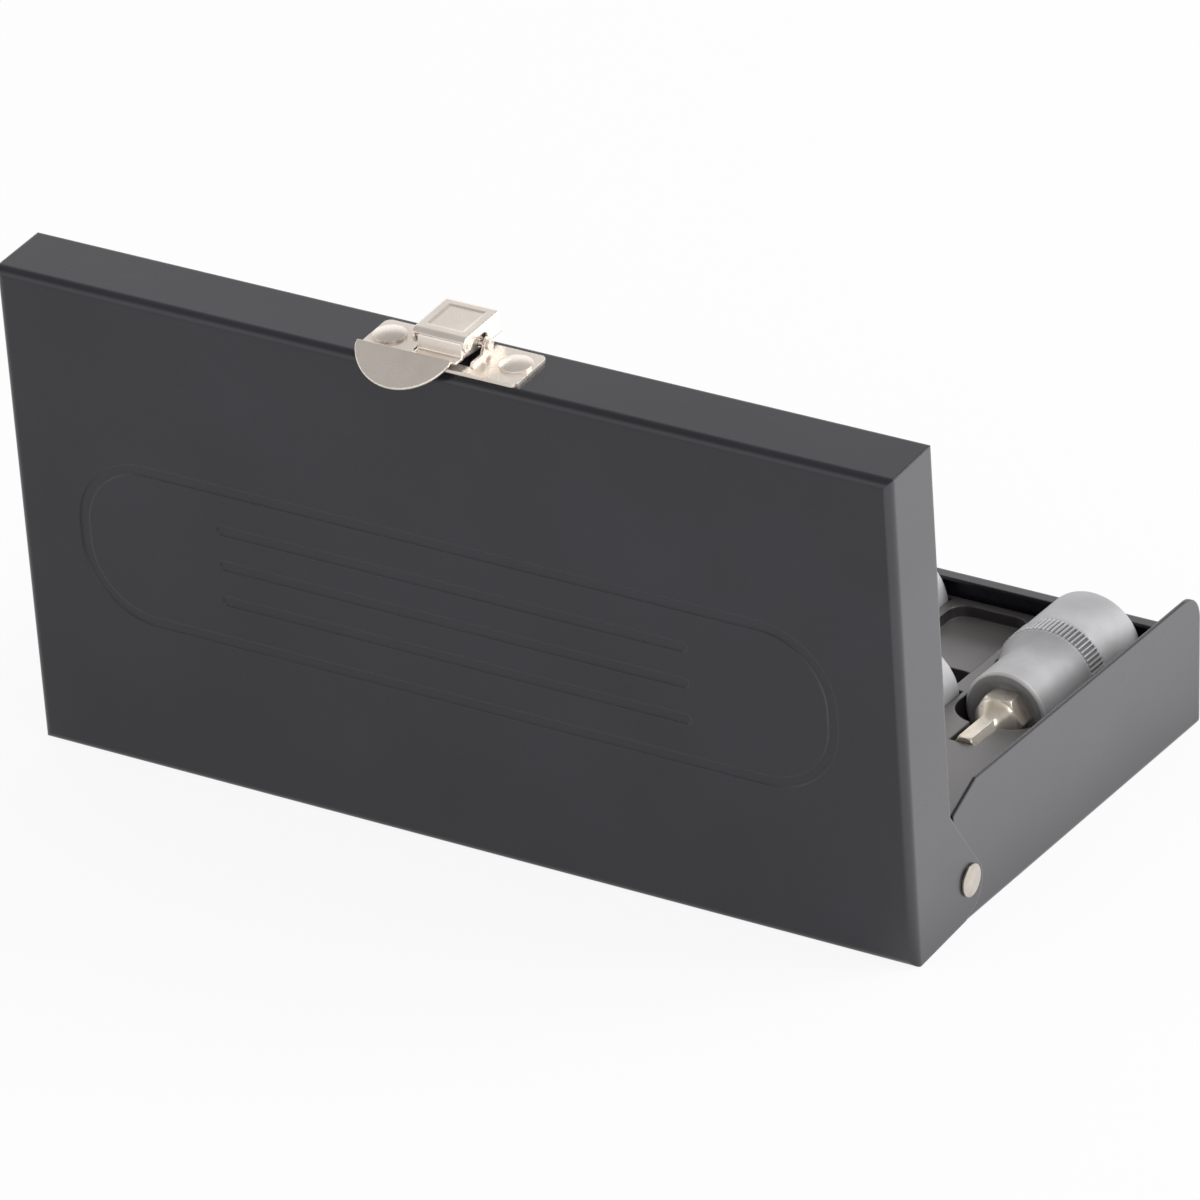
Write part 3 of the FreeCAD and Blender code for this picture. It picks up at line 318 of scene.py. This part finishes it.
def groove_share():
    """0 on a rib's flat crest and 1 on a groove's floor, with sloping walls between."""
    wave = 0.5 - 0.5 * np.cos(GRIP_RIBS * ring_angles())
    return np.clip((wave - 0.2) / 0.6, 0, 1)


def grip_radii(depth):
    """Radii of the ribbed band: r(a) = R - depth * groove_share(a)."""
    return GRIP_RADIUS - depth * groove_share()


def socket_place(number):
    """(x, y) of the middle of a socket's drive end."""
    column = (number - 1) % 4
    if number <= 4:
        return SOCKET_PITCH * (column - 1.75), PIVOT_Y - FRONT_ROW
    return SOCKET_PITCH * (column - 1.25), PIVOT_Y - BACK_ROW


def turned_rings(number, profile):
    """Rings about a socket's axis; profile is a list of (distance along, radius or radii)."""
    x, y = socket_place(number)
    angles = ring_angles()
    along = np.array([ring[0] for ring in profile])[:, None]
    radii = np.array([np.broadcast_to(ring[1], angles.shape) for ring in profile])
    return np.stack([x + radii * np.cos(angles), y + along + 0 * radii,
                     AXIS_HEIGHT + radii * np.sin(angles)], axis=-1)


def ring_mesh(name, points, sharp_degrees):
    """A closed mesh from rings of points, which runs along by i and around by j.

    The first and the last ring are closed by one face each.
    """
    rows, columns = points.shape[:2]
    index = np.arange(rows * columns).reshape(rows, columns)
    after = np.roll(index, -1, axis=1)
    quads = np.stack([index[:-1], after[:-1], after[1:], index[1:]], axis=-1)
    faces = quads.reshape(-1, 4).tolist() + [index[0, ::-1].tolist(), index[-1].tolist()]
    mesh = bpy.data.meshes.new(name)
    mesh.from_pydata((points.reshape(-1, 3) * MM).tolist(), [], faces)
    mesh.polygons.foreach_set("use_smooth", [True] * len(mesh.polygons))
    mesh.set_sharp_from_angle(angle=math.radians(sharp_degrees))
    mesh.update()
    return mesh


def socket_profile():
    """Profile from the drive hole's floor round the outside to the bit hole's floor.

    The taper falls from the band to the neck as neck + (shoulder - neck) * (1 - s) ** n.
    Close pairs of rings keep the shading of a rounded edge out of the plain length.
    """
    square = polygon_radius(4, DRIVE_SQUARE, DRIVE_CORNER)
    hexagon = polygon_radius(6, SHANK_FLATS + 0.1, BIT_HOLE_CORNER)
    drive_hole = [(DRIVE_DEPTH, 0.5), (DRIVE_DEPTH, square * 0.98),
                  (DRIVE_DEPTH - 0.3, square), (DRIVE_DEPTH - 0.4, square),
                  (0.6, square), (0.5, square), (0.12, square + 0.22), (0.0, square + 0.5)]
    rounded_edge = [(0.0, 0.8), (0.06, 0.52), (0.26, 0.22), (0.55, 0.05), (0.9, 0.0), (1.1, 0.0)]
    drive_end = [(along, DRIVE_RADIUS - fall) for along, fall in rounded_edge]
    drive_end += [(DRIVE_LENGTH - 0.5, DRIVE_RADIUS), (DRIVE_LENGTH - 0.35, DRIVE_RADIUS),
                  (DRIVE_LENGTH - 0.2, DRIVE_RADIUS - 0.12),
                  (DRIVE_LENGTH, DRIVE_RADIUS - 0.12)]
    band = [(DRIVE_LENGTH + 0.05, grip_radii(RIB_RUN_IN))]
    band += [(along, grip_radii(RIB_DEPTH))
             for along in np.linspace(DRIVE_LENGTH + 0.3, BAND_END - 0.3, 5)]
    band += [(BAND_END - 0.05, grip_radii(RIB_RUN_IN)), (BAND_END, BAND_SHOULDER)]
    share = np.arange(1, 17) / 16
    taper = list(zip(BAND_END + TAPER_LENGTH * share,
                     NECK_RADIUS + (BAND_SHOULDER - NECK_RADIUS) * (1 - share) ** TAPER_HOLLOW))
    rim = SOCKET_LENGTH
    neck = [(BAND_END + TAPER_LENGTH + 2.0, NECK_RADIUS), (rim - 0.9, NECK_RADIUS),
            (rim - 0.75, NECK_RADIUS), (rim - 0.62, NECK_RADIUS - 0.04),
            (rim - 0.12, NECK_RADIUS - 0.54), (rim, NECK_RADIUS - 0.72)]
    mouth = [(rim, MOUTH_RADIUS + 0.15), (rim - 0.08, MOUTH_RADIUS),
             (rim - MOUTH_DEPTH, MOUTH_RADIUS - MOUTH_DEPTH),
             (rim - MOUTH_DEPTH - 0.05, hexagon), (rim - SHANK_DEPTH, hexagon),
             (rim - SHANK_DEPTH, 0.5)]
    return drive_hole + drive_end + band + taper + neck + mouth


def mark_grime_wear_and_painted_light(mesh, points, number):
    """Writes two attributes: grime and painted shade between the ribs, rubbed wear and a painted
    highlight on the edges.
    """
    x, y = socket_place(number)
    along = points[..., 1] - y
    reach = np.hypot(points[..., 0] - x, points[..., 2] - AXIS_HEIGHT)
    outside = reach > DRIVE_RADIUS - 1
    in_band = ((along > DRIVE_LENGTH + 0.1) & (along < BAND_END - 0.02)
               & (reach > GRIP_RADIUS - 2 * RIB_DEPTH))
    # Grooves between the ribs are darkened: partly oil and grime, partly painted shade where
    # light does not reach into them.
    grime_and_shade = 0.75 * in_band * np.clip(groove_share() * 1.4 - 0.4, 0, 1)
    band_edge = (np.abs(along - DRIVE_LENGTH) < 0.1) | (np.abs(along - BAND_END) < 0.1)
    rim_edge = (along > SOCKET_LENGTH - 0.8) & (along < SOCKET_LENGTH - 0.05)
    drive_edge = (along > 0.03) & (along < 0.5)
    # Convex edges of the neck rim, the drive end and the rib crests are lightened: partly rubbed
    # wear, partly a painted edge highlight.
    worn_and_edge_highlight = 0.85 * ((rim_edge & (reach > MOUTH_RADIUS + 0.6))
                   | (drive_edge & (reach > DRIVE_RADIUS - 0.9))
                   | (band_edge & outside & (groove_share() < 0.5)))
    for label, values in (("groove_grime_and_shade", grime_and_shade), ("worn_and_edge_highlight", worn_and_edge_highlight)):
        layer = mesh.attributes.new(label, "FLOAT", "POINT")
        layer.data.foreach_set("value", values.ravel().astype(np.float32))


def make_socket_body(number, profile):
    """Turned body: square drive hole, plain end, ribbed band, hollow taper, neck, recess."""
    points = turned_rings(number, profile)
    mesh = ring_mesh(f"socket_shell_{number}", points, sharp_degrees=40.0)
    mark_grime_wear_and_painted_light(mesh, points, number)
    piece = add_piece(mesh, f"socket_{number}", "socket_chrome")
    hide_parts(f"socket_body_{number}")


def make_hex_bit(number):
    """Bit: hexagonal shank, turned shoulder that runs hollow into the hexagonal tip.

    The radius at each angle is the smaller of the shank's hexagon and the turned
    profile, but never less than the tip's hexagon. The turned profile rounds the shank
    as R - k * i ** p, and then falls to the tip by half a cosine.
    """
    flats = BIT_FLATS[number - 1]
    shank = polygon_radius(6, SHANK_FLATS, SHANK_CORNER)
    tip = polygon_radius(6, flats, flats * TIP_CORNER)
    rounding = np.arange(9)
    crown = SHANK_TURNED - 0.0105 * rounding ** 2.05
    share = np.arange(1, 13) / 12
    ease = 0.5 + 0.5 * np.cos(math.pi * share ** SHOULDER_HOLLOW)
    turned = [(0.05 - SHANK_DEPTH, 0.4), (0.05 - SHANK_DEPTH, 4.6),
              (0.6 - SHANK_DEPTH, SHANK_TURNED)]
    turned += zip(SHANK_PROUD - 1.2 + 0.15 * rounding, crown)
    turned += zip(SHANK_PROUD + 0.15 + (SHOULDER_LENGTH - 0.15) * share,
                  flats / 2 + (crown[-1] - flats / 2) * ease)
    profile = []
    for along, radius in turned:
        radii = np.minimum(shank, radius)
        if along > SHANK_PROUD:
            radii = np.maximum(radii, tip)
        profile.append((SOCKET_LENGTH + along, radii))
    end = SOCKET_LENGTH + BIT_REACH
    rounded_tip = np.minimum(tip, flats / 2)
    profile += [(end - 0.75, tip), (end - 0.6, tip), (end - 0.15, rounded_tip),
                (end, rounded_tip - 0.35), (end, 0.4)]
    mesh = ring_mesh(f"hex_key_{number}", turned_rings(number, profile), sharp_degrees=24.0)
    piece = add_piece(mesh, f"socket_{number}", "bit_steel")
    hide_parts(f"hex_bit_{number}")


# ---------------------------------------------------------------- pressed latch pieces
#
# Latch places are (u, down, out) in millimetres: u along X, down from the lid panel's
# outer face towards the rim, out from the front wall's outer face.

LID_FRONT = 103.6
PIVOT_DROP = 22.5
OPEN_ANGLE = math.radians(-94.9)
OPEN_COS, OPEN_SIN = math.cos(OPEN_ANGLE), math.sin(OPEN_ANGLE)

CLAW_PIN = (4.9, 5.0)
CLAW_HALF = 6.1
CLAW_SHEET = 0.6
CLAW_ROLL = 2.0
CLAW_LIP = 140
CLAW_TOP = CLAW_PIN[1] + CLAW_ROLL
CLAW_END = 17.6
CLAW_BEND = 1.1
CLAW_CORNER = (CLAW_END - CLAW_BEND, CLAW_TOP - CLAW_BEND)
CLAW_SKIRT = 1.95
BLADE_TIP = -0.65
BLADE_HALF = 3.5
FIELD_HALF = 4.1
FIELD_DOWN = (6.6, 15.0)
FIELD_SLOPE = 0.45
FIELD_DEPTH = 0.22

# the flank's lower edge: down from the end wall, round the lever pin, round the claw pin
FLANK_EDGE = [(CLAW_END, CLAW_SKIRT), (12.05, CLAW_SKIRT), (12.05, 3.8), (11.7, 4.5),
              (11.0, 4.85), (7.2, 4.85), (5.8, 3.55), (3.9, 3.8), (3.3, 5.2)]


def on_latch(places):
    """Latch places turned into case places with the lid standing open."""
    places = np.asarray(places, dtype=float)
    across, down, out = places[:, 0], places[:, 1], places[:, 2]
    y = -LID_FRONT - out
    z = PIVOT_DROP - down
    return np.stack([across, PIVOT_Y + y * OPEN_COS - z * OPEN_SIN,
                     PIVOT_Z + y * OPEN_SIN + z * OPEN_COS], axis=-1)


def from_case(points):
    """The inverse of on_latch."""
    y = points[:, 1] - PIVOT_Y
    z = points[:, 2] - PIVOT_Z
    return np.stack([points[:, 0], PIVOT_DROP + y * OPEN_SIN - z * OPEN_COS,
                     -LID_FRONT - y * OPEN_COS - z * OPEN_SIN], axis=-1)


def vertex_places(mesh):
    """All of a mesh's vertices as rows of x, y and z, in millimetres."""
    flat = np.empty(len(mesh.vertices) * 3)
    mesh.vertices.foreach_get("co", flat)
    return flat.reshape(-1, 3) / MM


def arc(centre, radius, start_degrees, end_degrees, steps):
    """Points (down, out) on an arc; 0 degrees points down, 90 degrees points out."""
    angles = np.radians(np.linspace(start_degrees, end_degrees, steps + 1))
    return np.stack([centre[0] + radius * np.cos(angles),
                     centre[1] + radius * np.sin(angles)], axis=-1).tolist()


def prism(outline, low_u, high_u):
    """Vertices and faces of an outline of (down, out) stretched from low_u to high_u."""
    count = len(outline)
    corners = [(u, down, out) for u in (low_u, high_u) for down, out in outline]
    sides = [(i, (i + 1) % count, (i + 1) % count + count, i + count) for i in range(count)]
    return corners, sides + [tuple(range(count))[::-1], tuple(range(count, 2 * count))]


def rounded_skin(name, corners, faces, voxel_mm, rounds):
    """One closed skin round closed forms, its edges eased as pressed steel's are."""
    rough = bpy.data.meshes.new(name + "_rough")
    rough.from_pydata((on_latch(corners) * MM).tolist(), [], faces)
    rough.update()
    holder = bpy.data.objects.new(name + "_rough", rough)
    bpy.context.scene.collection.objects.link(holder)
    remesh = holder.modifiers.new("skin", "REMESH")
    remesh.mode = "VOXEL"
    remesh.voxel_size = voxel_mm * MM
    ease = holder.modifiers.new("ease", "SMOOTH")
    ease.factor = 0.5
    ease.iterations = rounds
    bpy.context.view_layer.update()
    skin = bpy.data.meshes.new_from_object(
        holder.evaluated_get(bpy.context.evaluated_depsgraph_get()))
    skin.name = name
    bpy.data.objects.remove(holder)
    bpy.data.meshes.remove(rough)
    return skin


def finish_skin(skin, body, slot_name, node):
    """Makes the skin a smooth-shaded piece that stands for a node."""
    skin.polygons.foreach_set("use_smooth", [True] * len(skin.polygons))
    skin.update()
    piece = add_piece(skin, body, slot_name)
    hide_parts(node)


def smooth_box(value, low, high, edge):
    """1 between low and high, falling smoothly to 0 over edge on both sides."""
    share = np.clip(np.minimum(value - low, high - value) / edge + 0.5, 0, 1)
    return share * share * (3 - 2 * share)


def make_claw():
    """Claw: rolled near edge, flat top with a pressed square, end wall, arched flanks.

    The square is pressed as a step: out falls by depth * box(u) * box(down), where each
    box has smooth sides.
    """
    outer_roll = arc(CLAW_PIN, CLAW_ROLL, CLAW_LIP, 90, 8)
    outer_bend = arc(CLAW_CORNER, CLAW_BEND, 90, 0, 6)
    strip = (outer_roll + outer_bend
             + [(CLAW_END, CLAW_SKIRT), (CLAW_END - CLAW_SHEET, CLAW_SKIRT)]
             + arc(CLAW_CORNER, CLAW_BEND - CLAW_SHEET, 0, 90, 6)
             + arc(CLAW_PIN, CLAW_ROLL - CLAW_SHEET, 90, CLAW_LIP, 8))
    flank = outer_roll + outer_bend + FLANK_EDGE
    blade = [(CLAW_END - CLAW_SHEET, CLAW_SKIRT + 0.3), (CLAW_END, CLAW_SKIRT + 0.3),
             (CLAW_END, BLADE_TIP), (CLAW_END - CLAW_SHEET, BLADE_TIP)]
    corners, faces = [], []
    for outline, low_u, high_u in ((strip, -CLAW_HALF, CLAW_HALF),
                                   (flank, -CLAW_HALF, CLAW_SHEET - CLAW_HALF),
                                   (flank, CLAW_HALF - CLAW_SHEET, CLAW_HALF),
                                   (blade, -BLADE_HALF, BLADE_HALF)):
        form_corners, form_faces = prism(outline, low_u, high_u)
        faces += [tuple(index + len(corners) for index in face) for face in form_faces]
        corners += form_corners
    skin = rounded_skin("claw_cap", corners, faces, voxel_mm=0.14, rounds=4)
    latch = from_case(vertex_places(skin))
    pressed = (smooth_box(latch[:, 0], -FIELD_HALF, FIELD_HALF, FIELD_SLOPE)
               * smooth_box(latch[:, 1], *FIELD_DOWN, FIELD_SLOPE)
               * (latch[:, 2] > CLAW_TOP - 1.0))
    latch[:, 2] -= FIELD_DEPTH * pressed
    skin.vertices.foreach_set("co", (on_latch(latch) * MM).ravel())
    finish_skin(skin, "claw", "latch_nickel", "latch_claw")


def make_lever():
    """Lever: the built shape, its triangles merged, its sheared and folded edges eased."""
    source = frame["nodes"]["latch_lever"].data
    corners, merged = np.unique(np.round(vertex_places(source), 4), axis=0,
                                return_inverse=True)
    loops = np.empty(len(source.loops), dtype=np.int32)
    source.loops.foreach_get("vertex_index", loops)
    triangles = merged.ravel()[loops].reshape(-1, 3)
    whole = (triangles != np.roll(triangles, 1, axis=1)).all(axis=1)
    skin = rounded_skin("lever_with_tab", from_case(corners), triangles[whole].tolist(),
                        voxel_mm=0.15, rounds=3)
    finish_skin(skin, "lever", "latch_nickel", "latch_lever")


shared_profile = socket_profile()
for socket_number in range(1, 9):
    make_socket_body(socket_number, shared_profile)
    make_hex_bit(socket_number)
make_claw()
make_lever()


# ---------------------------------------------------------------- light, floor and camera

FLOOR_REACH = 6.0
FLOOR_LIGHT = 0.92
POOL_LIGHT = 2.3
POOL_EDGE = (0.085, 0.125)
SEEN_SHARE = 0.9
MIRRORED_SHARE = 0.7

HORIZON_LIGHT = 1.38
HORIZON_RISE = 0.36
OVERHEAD_LIGHT = 0.42
OVERHEAD_RISE = 0.74

# camera angles in degrees, its offsets and distance in case widths
CASE_WIDTH = 0.208
CAMERA_AZIMUTH = 211.48
CAMERA_ELEVATION = 26.64
CAMERA_ROLL = -1.25
CAMERA_RIGHT = 0.1305
CAMERA_ABOVE = 0.0218
CAMERA_DISTANCE = 9.8013
LID_MIDDLE = (0, 0.0686, 0.25 * CASE_WIDTH)

# the lens, with its focal length in the frame's pixels
SENSOR_WIDTH = 36.0
FOCAL_LENGTH = 10148.5
FRAME_WIDTH = 1200
CLIP_END = 50.0


def make_stage():
    """White floor that keeps a soft shadow, with a brighter pool beside the -X end.

    The camera sees it nearly white; the pool shows in reflections.
    """
    material, tree, shader, place = new_material("studio_paper")
    shader.inputs["Base Color"].default_value = colour("f2f2f2")
    shader.inputs["Roughness"].default_value = 0.9
    way = add_node(tree, "ShaderNodeVectorMath", {0: place, 1: (-1.0, 0, 0)},
                   operation="DOT_PRODUCT").outputs["Value"]
    pool = add_node(tree, "ShaderNodeMapRange", {
        "Value": way, "From Min": POOL_EDGE[0], "From Max": POOL_EDGE[1],
        "To Min": FLOOR_LIGHT, "To Max": POOL_LIGHT},
        interpolation_type="SMOOTHSTEP").outputs["Result"]
    rays = add_node(tree, "ShaderNodeLightPath").outputs
    level = add_node(tree, "ShaderNodeMix", {0: rays["Is Camera Ray"], 2: pool, 3: 1.0},
                     data_type="FLOAT")
    glow = add_node(tree, "ShaderNodeEmission", {
        "Color": (1, 1, 1, 1), "Strength": level.outputs[0]})
    mirrored = add_node(tree, "ShaderNodeMath", {
        0: rays["Is Glossy Ray"], 1: MIRRORED_SHARE}, operation="MULTIPLY")
    share = add_node(tree, "ShaderNodeMath", {
        0: rays["Is Camera Ray"], 1: SEEN_SHARE, 2: mirrored.outputs[0]},
        operation="MULTIPLY_ADD")
    mixed = add_node(tree, "ShaderNodeMixShader", {
        0: share.outputs[0], 1: shader.outputs["BSDF"], 2: glow.outputs[0]})
    output = next(node for node in tree.nodes if node.type == "OUTPUT_MATERIAL")
    tree.links.new(mixed.outputs[0], output.inputs["Surface"])
    mesh = bpy.data.meshes.new("studio_floor")
    mesh.from_pydata([(-FLOOR_REACH, -FLOOR_REACH, 0), (FLOOR_REACH, -FLOOR_REACH, 0),
                      (FLOOR_REACH, FLOOR_REACH, 0), (-FLOOR_REACH, FLOOR_REACH, 0)],
                     [], [(0, 1, 2, 3)])
    floor = bpy.data.objects.new("studio_floor", mesh)
    bpy.context.scene.collection.objects.link(floor)
    floor.data.materials.append(material)


def make_world():
    """Pale surround, brighter at the horizon than overhead; the camera sees it white."""
    world = bpy.data.worlds.new("studio_surround")
    bpy.context.scene.world = world
    world.use_nodes = True
    tree = world.node_tree
    tree.nodes.clear()
    direction = add_node(tree, "ShaderNodeTexCoord").outputs["Generated"]
    height = add_node(tree, "ShaderNodeSeparateXYZ", {"Vector": direction}).outputs["Z"]
    level = add_node(tree, "ShaderNodeMapRange", {
        "Value": height, "From Min": HORIZON_RISE, "From Max": OVERHEAD_RISE,
        "To Min": HORIZON_LIGHT, "To Max": OVERHEAD_LIGHT},
        interpolation_type="SMOOTHSTEP").outputs["Result"]
    light = add_node(tree, "ShaderNodeBackground", {"Color": (1, 1, 1, 1), "Strength": level})
    white = add_node(tree, "ShaderNodeBackground", {"Color": (1, 1, 1, 1), "Strength": 1.0})
    seen = add_node(tree, "ShaderNodeLightPath").outputs["Is Camera Ray"]
    mixed = add_node(tree, "ShaderNodeMixShader", {
        0: seen, 1: light.outputs[0], 2: white.outputs[0]})
    add_node(tree, "ShaderNodeOutputWorld", {"Surface": mixed.outputs[0]})


def add_softbox(name, place, aim, size, power):
    """A square soft light at a place, aimed at a point, both in metres."""
    lamp = bpy.data.lights.new(name, "AREA")
    lamp.size = size
    lamp.energy = power
    holder = bpy.data.objects.new(name, lamp)
    bpy.context.scene.collection.objects.link(holder)
    holder.location = place
    way = Vector(aim) - Vector(place)
    holder.rotation_euler = way.to_track_quat("-Z", "Y").to_euler()


def make_camera():
    """Long lens, a little above and behind the open lid."""
    azimuth = math.radians(CAMERA_AZIMUTH)
    elevation = math.radians(CAMERA_ELEVATION)
    roll = math.radians(CAMERA_ROLL)
    forward = Vector((-math.sin(azimuth) * math.cos(elevation),
                      math.cos(azimuth) * math.cos(elevation), -math.sin(elevation)))
    level = forward.cross(Vector((0, 0, 1))).normalized()
    upright = level.cross(forward)
    right = level * math.cos(roll) + upright * math.sin(roll)
    above = upright * math.cos(roll) - level * math.sin(roll)
    place = (Vector(LID_MIDDLE) + right * CAMERA_RIGHT * CASE_WIDTH
             + above * CAMERA_ABOVE * CASE_WIDTH - forward * CAMERA_DISTANCE * CASE_WIDTH)
    data = bpy.data.cameras.new("camera")
    data.sensor_width = SENSOR_WIDTH
    data.lens = SENSOR_WIDTH * FOCAL_LENGTH / FRAME_WIDTH
    data.clip_end = CLIP_END
    camera = bpy.data.objects.new("camera", data)
    bpy.context.scene.collection.objects.link(camera)
    turn = Matrix((right, above, -forward)).transposed().to_4x4()
    camera.matrix_world = Matrix.Translation(place) @ turn
    bpy.context.scene.camera = camera


make_stage()
make_world()
add_softbox("key_softbox", (-1.3, -0.75, 1.15), (-0.05, 0, 0.03), 1.1, 18.0)
make_camera()

bpy.context.scene.view_settings.view_transform = "Standard"
